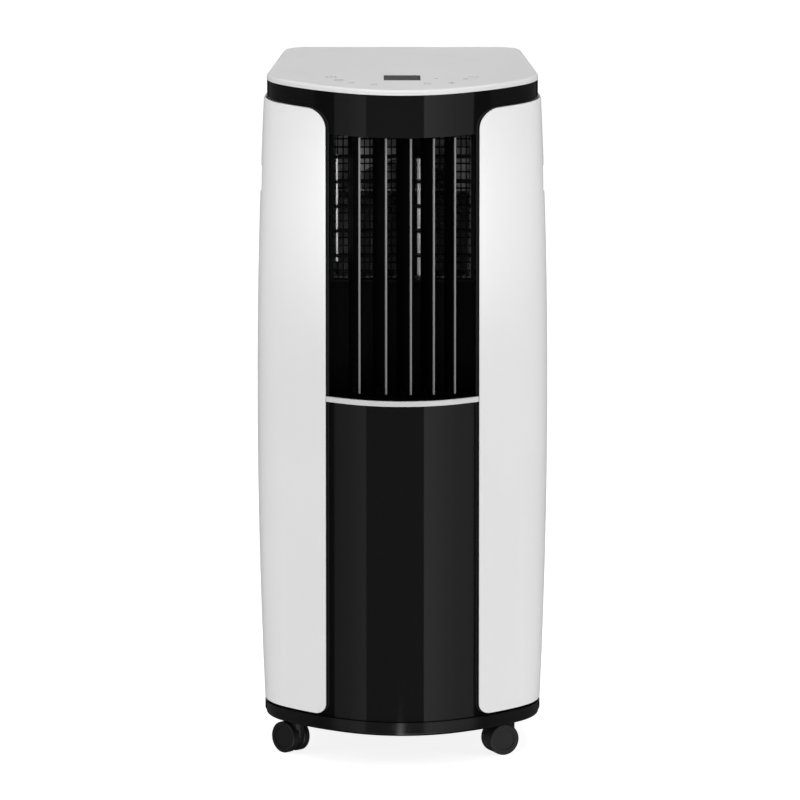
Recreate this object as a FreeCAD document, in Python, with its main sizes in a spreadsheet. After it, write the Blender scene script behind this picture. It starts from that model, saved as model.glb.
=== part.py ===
"""Portable air conditioner on four casters, as a parametric assembly of its separate pieces.

Frame: +Z up, front towards -Y, origin on the floor under the middle of the machine. Millimetres.
"""

import FreeCAD, Part
import math
import os

import Sketcher
from FreeCAD import Placement, Rotation, Vector

doc = FreeCAD.newDocument("portable_air_conditioner")
sheet = doc.addObject("Spreadsheet::Sheet", "Dims")

DRIVING = [
    # the envelope
    ("half_wide", 164.3, "half width at mid height, where the side panels bulge most"),
    ("half_end", 156, "half width at the foot and the top of the side panels"),
    ("front_y", -180, "foremost line of the casing"),
    ("nose_radius", 118.5, "the front's curve in plan, at its middle"),
    ("nose_angle", 30, "where the nose's arc meets the flank's, degrees from straight ahead"),
    ("flank_radius", 268.5, "the front's flatter curve on both sides of the nose"),
    ("flank_angle", 52, "where the flank's arc meets the shoulder's, degrees"),
    ("back_y", 168, "back plane of the side panels"),
    ("taper", 5.3, "the sides close towards the back, degrees"),
    ("rear_corner", 30, "radius of the two rear corners"),
    ("skin", 3, "wall thickness of the outer shells"),
    ("core_gap", 3.5, "how far the black core lies inside the side panels' outside"),
    # levels
    ("base_bottom", 36, "underside of the base tray"),
    ("base_step", 42.5, "top of the lower bead of the base rim"),
    ("base_top", 51.6, "top of the base rim"),
    ("panel_foot", 54, "lowest edge of the side panels"),
    ("panel_mid", 400, "level of the widest section"),
    ("panel_head", 743.5, "top edge of the side panels"),
    ("band_top", 764, "top of the black band and underside of the top cover"),
    ("cover_top", 769.8, "top of the top cover"),
    ("height", 770, "top of the display window, the highest face"),
    # the front
    ("front_half", 86, "half width between the side panels' front edges"),
    ("strip_half", 100, "half width of the black front pieces under the panels"),
    ("outlet_half", 82, "half width of the air outlet"),
    ("outlet_foot", 418.6, "sill of the air outlet and top of the divider"),
    ("outlet_head", 716, "lintel of the air outlet"),
    ("divider_foot", 412.2, "underside of the divider trim"),
    ("head_corner", 22, "radius of the side panels' upper front corners"),
    ("foot_corner", 13, "radius of the side panels' lower front corners"),
    ("back_half", 107, "half width between the side panels' rear edges"),
    # vanes
    ("vane_pitch", 26.7, "distance between vane pivots"),
    ("vane_y", -144, "line of the vane pivots"),
    ("vane_turn", 24, "how far the vanes stand turned at rest, degrees"),
    ("vane_foot", 422.6, "lower end of the vane blades"),
    ("vane_head", 714.6, "upper end of the vane blades"),
    ("vane_nose_0", 24, "the middle vane's length before its pivot"),
    ("vane_nose_1", 21.5, "the same of the vanes next to it"),
    ("vane_nose_2", 14, "the same of the two outer vanes"),
    ("vane_tail", 15, "vane length behind its pivot"),
    ("link_arm", 10, "from a vane's pivot to its link pin"),
    ("pivot_radius", 2.4, "vane pivot pin radius"),
    ("pivot_play", 0.1, "radial play of the pivots and link pins"),
    ("link_pin", 1.5, "link pin radius"),
    # casters
    ("caster_x", 119.5, "caster stems to the left and right of the middle"),
    ("caster_front", -94, "front caster stems"),
    ("caster_back", 118, "rear caster stems"),
    ("wheel_radius", 17.8, "caster wheel radius"),
    ("wheel_width", 9.6, "width of one caster wheel"),
    ("fork_width", 7, "caster core between its two wheels"),
    ("trail", 10, "from a caster's stem to its axle"),
    ("stem_radius", 5, "caster stem radius"),
    ("axle_radius", 3, "caster axle radius"),
    # rear
    ("filter_half", 99.5, "half width of the two filter grilles"),
    ("upper_filter_foot", 455, "lower edge of the upper filter opening"),
    ("upper_filter_head", 715, "upper edge of the upper filter opening"),
    ("lower_filter_foot", 92, "lower edge of the lower filter opening"),
    ("lower_filter_head", 270, "upper edge of the lower filter opening"),
    ("exhaust_z", 346, "centre of the exhaust collar"),
    ("exhaust_radius", 62, "inside radius of the exhaust collar"),
    ("drain_radius", 7, "drain plug radius"),
    ("rear_out", 180, "rearmost plane of the collar and hooks"),
    # inside
    ("deck_z", 420, "underside of the middle deck"),
    ("fan_radius", 78, "radius of both blower wheels"),
    ("fan_width", 46, "width of both blower wheels"),
    ("upper_fan_z", 575, "axis of the upper blower"),
    ("lower_fan_z", 205, "axis of the lower blower"),
    ("fan_y", 30, "front face of both blower casings"),
    ("compressor_radius", 50, "compressor shell radius"),
    ("compressor_y", -78, "compressor axis"),
]


class Size:
    """A number that also knows the spreadsheet expression it comes from."""

    def __init__(self, value, text):
        self.value = float(value)
        self.text = text

    def join(self, other, sign, value, swap=False):
        other_text = other.text if isinstance(other, Size) else repr(float(other))
        first, second = (other_text, self.text) if swap else (self.text, other_text)
        return Size(value, f"({first} {sign} {second})")

    def __add__(self, other):
        return self.join(other, "+", self.value + number(other))

    def __sub__(self, other):
        return self.join(other, "-", self.value - number(other))

    def __mul__(self, other):
        return self.join(other, "*", self.value * number(other))

    def __truediv__(self, other):
        return self.join(other, "/", self.value / number(other))

    def __rsub__(self, other):
        return self.join(other, "-", number(other) - self.value, swap=True)

    def __neg__(self):
        return Size(-self.value, f"(0 - {self.text})")

    __radd__ = __add__
    __rmul__ = __mul__


def number(size):
    return size.value if isinstance(size, Size) else float(size)


def plain(value):
    """A fixed size, for sums with sizes from the sheet."""
    return Size(value, repr(float(value)))


def sine(angle):
    return Size(math.sin(math.radians(angle.value)), f"sin({angle.text} * 1 deg)")


def cosine(angle):
    return Size(math.cos(math.radians(angle.value)), f"cos({angle.text} * 1 deg)")


def root(size):
    return Size(math.sqrt(size.value), f"sqrt({size.text})")


DIM = {}
for row, (alias, value, meaning) in enumerate(DRIVING, start=1):
    sheet.set(f"A{row}", alias)
    sheet.set(f"B{row}", str(value))
    sheet.set(f"C{row}", meaning)
    sheet.setAlias(f"B{row}", alias)
    DIM[alias] = Size(value, f"Dims.{alias}")
doc.recompute()


def dim(alias):
    return DIM[alias]


def bind(item, prop, size):
    """Sets a property from the sheet, or to a plain number."""
    if isinstance(size, Size):
        item.setExpression(prop, size.text)
    else:
        setattr(item, prop, size)


# ---------------------------------------------------------------- outlines and sketches
# An outline is a list of corners (x, y, arc). arc is None for a straight side to the next
# corner, or (centre x, centre y, radius, turns left) for a round one.


def corner(x, y, arc=None):
    return (x, y, arc)


def rectangle(x0, y0, x1, y1):
    return [corner(x0, y0), corner(x1, y0), corner(x1, y1), corner(x0, y1)]


def circle(x, y, radius):
    return (x, y, radius)


def constrain(sketch, parts):
    return sketch.addConstraint(Sketcher.Constraint(*parts))


def add_point_constraints(sketch, geo, pos, x, y):
    for size, kind, axis in ((x, "DistanceX", -2), (y, "DistanceY", -1)):
        if abs(number(size)) < 1e-9:
            constrain(sketch, ("PointOnObject", geo, pos, axis))
        else:
            index = constrain(sketch, (kind, -1, 1, geo, pos, number(size)))
            if isinstance(size, Size):
                sketch.setExpression(f"Constraints[{index}]", size.text)


def draw(sketch, outline):
    """Draws one closed outline or circle, fully constrained from the sheet."""
    if isinstance(outline, tuple):
        x, y, radius = outline
        centre = Vector(number(x), number(y), 0)
        geo = sketch.addGeometry(Part.Circle(centre, Vector(0, 0, 1), number(radius)), False)
        index = constrain(sketch, ("Radius", geo, number(radius)))
        if isinstance(radius, Size):
            sketch.setExpression(f"Constraints[{index}]", radius.text)
        add_point_constraints(sketch, geo, 3, x, y)
        return
    ends = []
    for i, (x, y, arc) in enumerate(outline):
        next_x, next_y = outline[(i + 1) % len(outline)][:2]
        start = Vector(number(x), number(y), 0)
        end = Vector(number(next_x), number(next_y), 0)
        if arc is None:
            geo = sketch.addGeometry(Part.LineSegment(start, end), False)
            ends.append((geo, 1, 2))
            continue
        centre_x, centre_y, radius, left = arc
        centre = Vector(number(centre_x), number(centre_y), 0)
        first, last = (start, end) if left else (end, start)
        angles = [math.atan2(p.y - centre.y, p.x - centre.x) for p in (first, last)]
        if angles[1] <= angles[0]:
            angles[1] += 2 * math.pi
        round_line = Part.Circle(centre, Vector(0, 0, 1), number(radius))
        geo = sketch.addGeometry(Part.ArcOfCircle(round_line, *angles), False)
        ends.append((geo, 1, 2) if left else (geo, 2, 1))
    for i, (geo, _, tail) in enumerate(ends):
        next_geo, next_head, _ = ends[(i + 1) % len(ends)]
        constrain(sketch, ("Coincident", geo, tail, next_geo, next_head))
    for (geo, head, _), (x, y, arc) in zip(ends, outline):
        add_point_constraints(sketch, geo, head, x, y)
        if arc is not None:
            index = constrain(sketch, ("Radius", geo, number(arc[2])))
            if isinstance(arc[2], Size):
                sketch.setExpression(f"Constraints[{index}]", arc[2].text)


PLANES = {
    # name: (role, where the plane's own offset points, rotation of a free sketch)
    "XY": ("XY_Plane", 1, Rotation()),
    "XZ": ("XZ_Plane", -1, Rotation(Vector(1, 0, 0), 90)),
    "YZ": ("YZ_Plane", 1, Rotation(Vector(1, 1, 1), 120)),
}


class Piece:
    """A PartDesign body. Pads and pockets run from their plane towards +Z, -Y or +X."""

    def __init__(self, name):
        self.name = name
        self.body = doc.addObject("PartDesign::Body", name)
        self.body.Label = name
        self.count = 0

    def sketch(self, plane, at, outlines):
        role, sign, _ = PLANES[plane]
        self.count += 1
        sketch = self.body.newObject("Sketcher::SketchObject", f"{self.name}_sketch{self.count}")
        origin = [f for f in self.body.Origin.OriginFeatures if f.Role == role][0]
        sketch.AttachmentSupport = (origin, [""])
        sketch.MapMode = "FlatFace"
        if isinstance(at, Size):
            sketch.setExpression("AttachmentOffset.Base.z", f"{sign} * {at.text}")
        else:
            sketch.AttachmentOffset = Placement(Vector(0, 0, sign * at), Rotation())
        for outline in outlines:
            draw(sketch, outline)
        return sketch

    def feature(self, kind, plane, at, outlines, length, **extra):
        profile = self.sketch(plane, at, outlines)
        before = self.body.Shape.Volume if self.body.Tip else 0.0
        item = self.body.newObject(f"PartDesign::{kind}", f"{self.name}_{kind.lower()}{self.count}")
        item.Profile = profile
        for prop, value in extra.items():
            bind(item, prop, value)
        bind(item, "Length", length)
        doc.recompute()
        if abs(self.body.Shape.Volume - before) < 0.01:
            raise RuntimeError(f"{item.Name} changed nothing")
        return item

    def pad(self, plane, at, outlines, length, **extra):
        return self.feature("Pad", plane, at, outlines, length, **extra)

    def pocket(self, plane, at, outlines, length, **extra):
        return self.feature("Pocket", plane, at, outlines, length, Reversed=True, **extra)

    def revolve(self, outlines, plane="XZ"):
        """Turns an outline, drawn in the X-Z plane, a full turn about Z."""
        profile = self.sketch(plane, 0, outlines)
        item = self.body.newObject("PartDesign::Revolution", f"{self.name}_turn{self.count}")
        item.Profile = profile
        item.ReferenceAxis = (profile, ["V_Axis"])
        item.Angle = 360
        doc.recompute()
        return item

    def round_edges(self, kind, size, wanted):
        """Fillets or chamfers the edges that wanted(edge) picks."""
        edges = self.body.Shape.Edges
        names = [f"Edge{i}" for i, edge in enumerate(edges, start=1) if wanted(edge)]
        if not names:
            raise RuntimeError(f"{self.name}: no edge to round")
        tip = self.body.Tip
        item = self.body.newObject(f"PartDesign::{kind}", f"{self.name}_{kind.lower()}{self.count}")
        item.Base = (tip, names)
        bind(item, "Radius" if kind == "Fillet" else "Size", size)
        doc.recompute()
        return item

    def polar(self, feature, count):
        """Repeats a feature round Z."""
        item = self.body.newObject("PartDesign::PolarPattern", f"{self.name}_polar{self.count}")
        item.Originals = [feature]
        item.Axis = (feature.Profile[0], ["N_Axis"])
        item.Angle = 360
        item.Occurrences = count
        self.body.Tip = item
        doc.recompute()
        return item

    def rows(self, feature, pitch, count):
        """Repeats a feature upwards in its own sketch."""
        item = self.body.newObject("PartDesign::LinearPattern", f"{self.name}_rows{self.count}")
        item.Originals = [feature]
        item.Direction = (feature.Profile[0], ["V_Axis"])
        item.Length = pitch * (count - 1)
        item.Occurrences = count
        self.body.Tip = item
        doc.recompute()
        return item

    def place(self, x, y, z, turn=None):
        """Moves the finished body; turn is an angle about Z from the sheet."""
        for axis, size in (("x", x), ("y", y), ("z", z)):
            text = size.text if isinstance(size, Size) else repr(float(size))
            self.body.setExpression(f"Placement.Base.{axis}", text)
        if turn is not None:
            self.body.setExpression("Placement.Rotation.Angle", turn.text)


NODES = {}


def keep(item, name):
    """Takes a finished document object as the sub-part called name."""
    item.Label = name
    if name in NODES:
        raise RuntimeError(f"{name} is made twice")
    NODES[name] = item
    return item


def free_sketch(name, plane, at, outlines):
    """A sketch outside any body, for lofts and extrusions."""
    sketch = doc.addObject("Sketcher::SketchObject", name)
    sketch.Placement = Placement(Vector(0, 0, 0), PLANES[plane][2])
    axis = {"XY": "z", "XZ": "y", "YZ": "x"}[plane]
    text = at.text if isinstance(at, Size) else repr(float(at))
    sketch.setExpression(f"Placement.Base.{axis}", text)
    for outline in outlines:
        draw(sketch, outline)
    return sketch


def extrusion(name, sketch, direction, length):
    item = doc.addObject("Part::Extrusion", name)
    item.Base = sketch
    item.DirMode = "Custom"
    item.Dir = Vector(*direction)
    item.Solid = True
    bind(item, "LengthFwd", length)
    return item


def block(name, low, high):
    """A Part::Box between two corners."""
    item = doc.addObject("Part::Box", name)
    for prop, axis, a, b in zip(("Length", "Width", "Height"), "xyz", low, high):
        size = b - a
        bind(item, prop, size if isinstance(size, Size) else float(size))
        text = a.text if isinstance(a, Size) else repr(float(a))
        item.setExpression(f"Placement.Base.{axis}", text)
    return item


def cut(name, base, tool):
    item = doc.addObject("Part::Cut", name)
    item.Base = base
    item.Tool = tool
    return item


def fuse(name, items):
    item = doc.addObject("Part::MultiFuse", name)
    item.Shapes = items
    return item


def common(name, items):
    item = doc.addObject("Part::MultiCommon", name)
    item.Shapes = items
    return item


def group(name, shapes):
    """A Part::Feature for a shape that only Part's own functions make."""
    item = doc.addObject("Part::Feature", name)
    item.Shape = shapes[0] if len(shapes) == 1 else Part.makeCompound(shapes)
    return item


# ---------------------------------------------------------------- the casing's plan outline


# The front is a chain of tangent arcs: a nose across the middle, then on each side a flatter
# flank, then a shoulder that turns into the side. Angles are from straight ahead.


def nose_centre():
    return dim("front_y") + dim("nose_radius")


def flank_centre():
    """The right flank's centre, which lies left of the middle."""
    lag = dim("flank_radius") - dim("nose_radius")
    return -(lag * sine(dim("nose_angle"))), nose_centre() + lag * cosine(dim("nose_angle"))


def nose_end(inset):
    radius = dim("nose_radius") - inset
    return radius * sine(dim("nose_angle")), nose_centre() - radius * cosine(dim("nose_angle"))


def shoulder(half):
    """The right shoulder's centre and radius, for a casing of this half width."""
    x, y = flank_centre()
    flank, angle = dim("flank_radius"), dim("flank_angle")
    radius = (half - x - flank * sine(angle)) / (1 - sine(angle))
    return x + (flank - radius) * sine(angle), y - (flank - radius) * cosine(angle), radius


def mirrored(corners):
    """The corners of a right half, in reverse order on the left, arcs kept between the same ends."""
    arcs = [arc for _, _, arc in corners[:-1]]
    flipped = [(-x, y) for x, y, _ in corners]
    turned = [(-arc[0], *arc[1:]) if arc else None for arc in arcs]
    return [corner(x, y, arc) for (x, y), arc in zip(flipped[::-1], turned[::-1] + [None])]


def plan(half, inset=0, back=None):
    """The D-shaped plan: a round front, sides that close slightly, two rear corners."""
    back = dim("back_y") if back is None else back
    taper, bend = dim("taper"), dim("flank_angle")
    nose_x, nose_y = nose_end(inset)
    flank_x, flank_y = flank_centre()
    flank = dim("flank_radius") - inset
    centre_x, centre_y, radius = shoulder(half)
    round_radius = radius - inset
    corner_radius = dim("rear_corner") - inset
    corner_y = back - dim("rear_corner")
    reach = radius - dim("rear_corner") + centre_x * cosine(taper) + (centre_y - corner_y) * sine(taper)
    corner_x = reach / cosine(taper)
    bend_x, bend_y = flank_x + flank * sine(bend), flank_y - flank * cosine(bend)
    right = [
        corner(nose_x, nose_y, (flank_x, flank_y, flank, True)),
        corner(bend_x, bend_y, (centre_x, centre_y, round_radius, True)),
        corner(centre_x + round_radius * cosine(taper), centre_y + round_radius * sine(taper)),
        corner(
            corner_x + corner_radius * cosine(taper),
            corner_y + corner_radius * sine(taper),
            (corner_x, corner_y, corner_radius, True),
        ),
        corner(corner_x, corner_y + corner_radius),
    ]
    left = mirrored(right)
    x, y, _ = left[-1]
    left[-1] = corner(x, y, (0, nose_centre(), dim("nose_radius") - inset, True))
    return right + left


def front_curve(inset, half_width, leftwards=False):
    """The front's corners across |x| up to half_width, which lies on the flank."""
    nose_x, nose_y = nose_end(inset)
    centre_x, centre_y = flank_centre()
    flank, nose = dim("flank_radius") - inset, dim("nose_radius") - inset
    reach = half_width - centre_x
    end_y = centre_y - root(flank * flank - reach * reach)
    turns = not leftwards
    side = -1 if leftwards else 1
    return [
        corner(-side * half_width, end_y, (-side * centre_x, centre_y, flank, turns)),
        corner(-side * nose_x, nose_y, (0, nose_centre(), nose, turns)),
        corner(side * nose_x, nose_y, (side * centre_x, centre_y, flank, turns)),
        corner(side * half_width, end_y),
    ]


def front_strip(outer, inner, half_width):
    """The plan of a curved strip across the front, between two insets."""
    return front_curve(outer, half_width) + front_curve(inner, half_width, leftwards=True)


def at_level(edge, z):
    return all(abs(v.Z - z) < 0.01 for v in edge.Vertexes)


# ---------------------------------------------------------------- casing


def make_base_tray():
    half = dim("half_end")
    piece = Piece("base_tray")
    bottom, step, top = dim("base_bottom"), dim("base_step"), dim("base_top")
    piece.pad("XY", bottom, [plan(half, 1.4)], step - bottom)
    piece.round_edges("Fillet", 3.2, lambda e: at_level(e, bottom.value))
    piece.pad("XY", step, [plan(half)], top - step)
    floor = bottom + 4
    piece.pocket("XY", floor, [plan(half, 6)], top - floor)
    piece.pad("XY", floor, [plan(half, 8), plan(half, 10.5)], 24)
    stems = [(sx * dim("caster_x"), y) for sx in (-1, 1) for y in (dim("caster_front"), dim("caster_back"))]
    piece.pad("XY", floor, [circle(x, y, dim("stem_radius") + 4) for x, y in stems], 20)
    hole = dim("stem_radius") + dim("pivot_play")
    piece.pocket("XY", bottom, [circle(x, y, hole) for x, y in stems], 22)
    keep(piece.body, "base_tray")


def make_front_pieces():
    outer = dim("core_gap")
    inner = outer + dim("skin")
    wide = dim("strip_half")
    panel = Piece("front_panel")
    foot = dim("base_top") + 0.4
    panel.pad("XY", foot, [front_strip(outer, inner, wide)], dim("divider_foot") - foot)
    for level in (120, 330):
        panel.pad("XY", level, [front_strip(inner, inner + 8, plain(70))], 3)
    keep(panel.body, "front_panel")

    fascia = Piece("fascia")
    head = dim("band_top")
    half = dim("half_end")
    band_foot = dim("panel_head") + 0.4
    fascia.pad("XY", band_foot, [plan(half, dim("core_gap")), plan(half, 8.5)], head - band_foot)
    low = dim("divider_foot")
    fascia.pad("XY", low, [front_strip(outer, inner + 2, wide)], head - 12 - low)
    opening = rectangle(-dim("outlet_half"), dim("outlet_foot"), dim("outlet_half"), dim("outlet_head"))
    fascia.pocket("XZ", -60, [opening], 140)
    keep(fascia.body, "fascia")

    trim = Piece("divider_trim")
    half = dim("front_half") - 0.4
    foot = dim("divider_foot") + 0.3
    proud = outer - 2.6
    trim.pad("XY", foot, [front_strip(proud, outer - 0.15, half)], dim("outlet_foot") - foot - 0.1)
    faces = (dim("nose_radius").value - proud.value, dim("flank_radius").value - proud.value)

    def on_front_face(edge):
        if edge.Curve.TypeId != "Part::GeomCircle":
            return False
        return any(abs(edge.Curve.Radius - radius) < 0.01 for radius in faces)

    trim.round_edges("Fillet", 0.9, on_front_face)
    keep(trim.body, "divider_trim")


def loft(name, sections):
    item = doc.addObject("Part::Loft", name)
    item.Sections = sections
    item.Solid = True
    item.Ruled = False
    return item


def make_envelope(name, inset):
    """The bulged outside of the side panels, as a solid, drawn inwards by inset."""
    sections = []
    levels = (("panel_foot", "half_end"), ("panel_mid", "half_wide"), ("panel_head", "half_end"))
    for level, half in levels:
        sections.append(free_sketch(f"{name}_{level}", "XY", dim(level), [plan(dim(half), inset)]))
    return loft(name, sections)


GRIP_Y = (-48, 52)
GRIP_Z = (630, 668)


def shrunk(span, by):
    return span[0] + by, span[1] - by


def side_block(name, sign, near_far, span_y, span_z):
    """A block on the left (sign -1) or right side, between two distances from the middle."""
    near, far = near_far
    x0, x1 = (near, far) if sign > 0 else (-far, -near)
    return block(name, (x0, span_y[0], span_z[0]), (x1, span_y[1], span_z[1]))


def make_side_panels():
    outside = make_envelope("envelope", 0)
    inside = make_envelope("envelope_inside", dim("skin"))
    doc.recompute()
    shell = cut("panel_shell", outside, inside)
    foot, head = dim("panel_foot"), dim("panel_head")
    low_r, high_r = dim("foot_corner"), dim("head_corner")
    for side, sign in (("left", -1), ("right", 1)):
        edge = dim("front_half") * sign
        far = plain(sign * 200)
        left_turn = sign < 0
        low_x, high_x = edge + sign * low_r, edge + sign * high_r
        outline = [
            corner(far, foot - 5),
            corner(low_x, foot - 5),
            corner(low_x, foot, (low_x, foot + low_r, low_r, left_turn)),
            corner(edge, foot + low_r),
            corner(edge, head - high_r, (high_x, head - high_r, high_r, left_turn)),
            corner(high_x, head),
            corner(high_x, head + 5),
            corner(far, head + 5),
        ]
        view = free_sketch(f"front_view_{side}", "XZ", 0, [outline])
        front = extrusion(f"front_window_{side}", view, (0, -1, 0), 220)
        rear = side_block(f"rear_window_{side}", sign, (dim("back_half"), 200), (-0.01, 220), (0, 800))
        window = fuse(f"window_{side}", [front, rear])
        whole = common(f"panel_{side}_whole", [shell, window])
        # the hand-hold is cut out of the panel's side, and a cup trimmed to the outside fills it
        hole = side_block(f"hand_hole_{side}", sign, (105, 185), GRIP_Y, GRIP_Z)
        keep(cut(f"side_panel_{side}", whole, hole), f"side_panel_{side}")
        gap, wall = 0.3, 2.8
        cup = side_block(f"cup_block_{side}", sign, (130, 190), shrunk(GRIP_Y, gap), shrunk(GRIP_Z, gap))
        inner_y, inner_z = shrunk(GRIP_Y, wall), shrunk(GRIP_Z, wall)
        hollow = side_block(f"cup_hollow_{side}", sign, (132.5, 195), inner_y, inner_z)
        shell_cup = cut(f"cup_shell_{side}", cup, hollow)
        keep(common(f"handle_cup_{side}", [shell_cup, outside]), f"handle_cup_{side}")


def make_top_cover():
    half, top = dim("half_end"), dim("cover_top")
    inset = dim("core_gap") - 0.3
    back = dim("back_y") + 7
    piece = Piece("top_cover")
    piece.pad("XY", dim("band_top"), [plan(half, inset, back)], top - dim("band_top"))
    piece.round_edges("Fillet", 3.6, lambda e: at_level(e, top.value))
    piece.pocket("XY", dim("band_top"), [plan(half, inset + 9, back)], 2.8)
    x0, y0, x1, y1 = -21.0, -98.0, 20.0, -60.0
    piece.pocket("XY", top - 1.6, [rectangle(x0 - 0.2, y0 - 0.2, x1 + 0.2, y1 + 0.2)], 2)
    keep(piece.body, "top_cover")
    glass = Piece("display_window")
    thick = dim("height") - top + 1.5
    glass.pad("XY", top - 1.5, [rectangle(x0, y0, x1, y1)], thick)
    glass.round_edges("Fillet", 1.0, lambda e: abs(e.BoundBox.ZLength - thick.value) < 0.01)
    keep(glass.body, "display_window")


REAR_SCREWS = [(side * 98, z) for z in (296, 443, 730) for side in (-1, 1)]


def make_rear_cover():
    half = dim("half_end")
    gap, skin = dim("core_gap"), 2.5
    piece = Piece("rear_cover")
    low, high = dim("base_top") + 0.4, dim("panel_head")
    piece.pad("XY", low, [plan(half, gap), plan(half, gap + skin)], high - low)
    piece.pocket("XY", low - 10, [rectangle(-300, -300, 300, dim("back_y") - dim("rear_corner") - 25)], 800)
    wide = dim("filter_half") + 0.5
    windows = [
        rectangle(-wide, dim("upper_filter_foot"), wide, dim("upper_filter_head")),
        rectangle(-wide, dim("lower_filter_foot"), wide, dim("lower_filter_head")),
        circle(0, dim("exhaust_z"), dim("exhaust_radius") + 4),
        circle(-88, 430, dim("drain_radius") + 0.2),
        circle(-88, 76, dim("drain_radius") + 0.2),
        circle(88, 76, 9.2),
    ]
    windows += [circle(x, z, 1.9) for x, z in REAR_SCREWS]
    piece.pocket("XZ", 200, windows, 60)
    keep(piece.body, "rear_cover")


def make_filter(name, foot, head):
    """A clip-in rear grille with a mesh behind it; the pair pulls straight out."""
    wide = dim("filter_half")
    back = dim("back_y") - dim("core_gap")
    grille = Piece(f"{name}_grille")
    grille.pad("XZ", back + 4, [rectangle(-wide, foot + 0.5, wide, head - 0.5)], 6.5)
    pitch = 12
    rows = int((head.value - foot.value - 24) // pitch)
    start = (foot.value + head.value - rows * pitch) / 2 + 2
    columns = ((-92, -33), (-29, 29), (33, 92))
    slots = grille.pocket("XZ", back + 5, [rectangle(x0, start, x1, start + 8) for x0, x1 in columns], 9)
    grille.rows(slots, pitch, rows)
    grille.pad("XZ", back + 10, [rectangle(-14, head - 9, 14, head - 4)], 6)
    keep(grille.body, f"{name}_grille")
    mesh = Piece(f"{name}_mesh")
    mesh.pad("XZ", back - 3, [rectangle(-wide + 1.5, foot + 2, wide - 1.5, head - 2)], 1)
    keep(mesh.body, f"{name}_mesh")


def make_exhaust_collar():
    piece = Piece("exhaust_collar")
    radius = dim("exhaust_radius")
    z = dim("exhaust_z")
    wall = radius + 3.5
    piece.pad("XZ", dim("rear_out"), [circle(0, z, wall), circle(0, z, radius)], 30)
    flange = dim("back_y") - dim("core_gap") + 3
    piece.pad("XZ", flange, [circle(0, z, radius + 9), circle(0, z, wall)], 2.6)
    for angle in (30, 150, 270):
        x = wall.value * math.cos(math.radians(angle))
        dz = wall.value * math.sin(math.radians(angle))
        piece.pad("XZ", dim("rear_out") - 2, [circle(x, z + dz, 3)], 6)
    keep(piece.body, "exhaust_collar")


def make_rear_fittings():
    back = dim("back_y") - dim("core_gap")
    for name, z in (("drain_plug_upper", 430), ("drain_plug_lower", 76)):
        piece = Piece(name)
        piece.pad("XZ", back + 7, [circle(-88, z, 11)], 6.6)
        piece.pad("XZ", back + 0.5, [circle(-88, z, dim("drain_radius"))], 6.5)
        piece.pad("XZ", back + 9, [rectangle(-97, z - 1.5, -79, z + 1.5)], 4)
        keep(piece.body, name)
    gland = Piece("cord_gland")
    gland.pad("XZ", back + 2.8, [circle(88, 76, 13)], 2.5)
    gland.pad("XZ", back + 8, [circle(88, 76, 8.6)], 16)
    gland.pocket("XZ", back + 9, [circle(88, 76, 4.2)], 20)
    keep(gland.body, "cord_gland")
    hooks = []
    for i, (z, turn) in enumerate(((283, -1), (420, 1))):
        arm = block(f"hook_arm_{i}", (70, back + 0.2, z), (90, dim("rear_out"), z + 8))
        tip_low = z + min(0, turn * 12)
        tip = block(f"hook_tip_{i}", (70, dim("rear_out") - 4, tip_low), (90, dim("rear_out"), tip_low + 20))
        hooks.append(fuse(f"hook_{i}", [arm, tip]))
    doc.recompute()
    keep(group("cord_hooks", [hook.Shape.copy() for hook in hooks]), "cord_hooks")


# ---------------------------------------------------------------- air outlet


def make_outlet_frame():
    piece = Piece("outlet_frame")
    outlet = dim("outlet_half")
    wide = outlet + 3
    behind = dim("core_gap") + dim("skin") + 2.6
    low, high = dim("divider_foot") + 0.3, dim("outlet_head") + 6
    outline = front_curve(behind, wide) + [corner(wide, -104), corner(-wide, -104)]
    piece.pad("XY", low, [outline], high - low)
    piece.pocket("XZ", -60, [rectangle(-outlet, 545, outlet, dim("outlet_head"))], 140)
    piece.pocket("XZ", -107, [rectangle(-outlet, dim("outlet_foot"), outlet, 546)], 90)
    hole = dim("pivot_radius") + dim("pivot_play")
    pivots = [circle(dim("vane_pitch") * i, dim("vane_y"), hole) for i in range(-2, 3)]
    piece.pocket("XY", dim("divider_foot") + 1.5, pivots, 320)
    keep(piece.body, "outlet_frame")


def make_vanes():
    tail, arm = dim("vane_tail"), dim("link_arm")
    foot, head = dim("vane_foot"), dim("vane_head")
    for i in range(-2, 3):
        name = f"vane_{i + 3}"
        nose = dim(f"vane_nose_{abs(i)}")
        piece = Piece(name)
        blade = [
            corner(-0.4, -nose),
            corner(0.4, -nose),
            corner(0.8, -nose + 0.7),
            corner(1.6, 0),
            corner(0.6, tail),
            corner(-0.6, tail),
            corner(-1.6, 0),
            corner(-0.8, -nose + 0.7),
        ]
        piece.pad("XY", foot, [blade], head - foot)
        radius = dim("pivot_radius")
        reach = 14 if i == 0 else 5
        piece.pad("XY", foot, [circle(0, 0, radius + 1)], 7)
        piece.pad("XY", head - 7, [circle(0, 0, radius + 1)], 7)
        piece.pad("XY", dim("divider_foot") + 2, [circle(0, 0, radius)], foot - dim("divider_foot") - 2)
        piece.pad("XY", head, [circle(0, 0, radius)], reach)
        pin_foot = dim("outlet_foot") + 0.7
        piece.pad("XY", pin_foot, [circle(0, arm, dim("link_pin"))], foot - pin_foot)
        piece.place(dim("vane_pitch") * i, dim("vane_y"), 0, turn=dim("vane_turn"))
        keep(piece.body, name)


def link_point():
    """The middle link pin's place at rest."""
    arm, turn = dim("link_arm"), dim("vane_turn")
    return -arm * sine(turn), dim("vane_y") + arm * cosine(turn)


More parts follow.
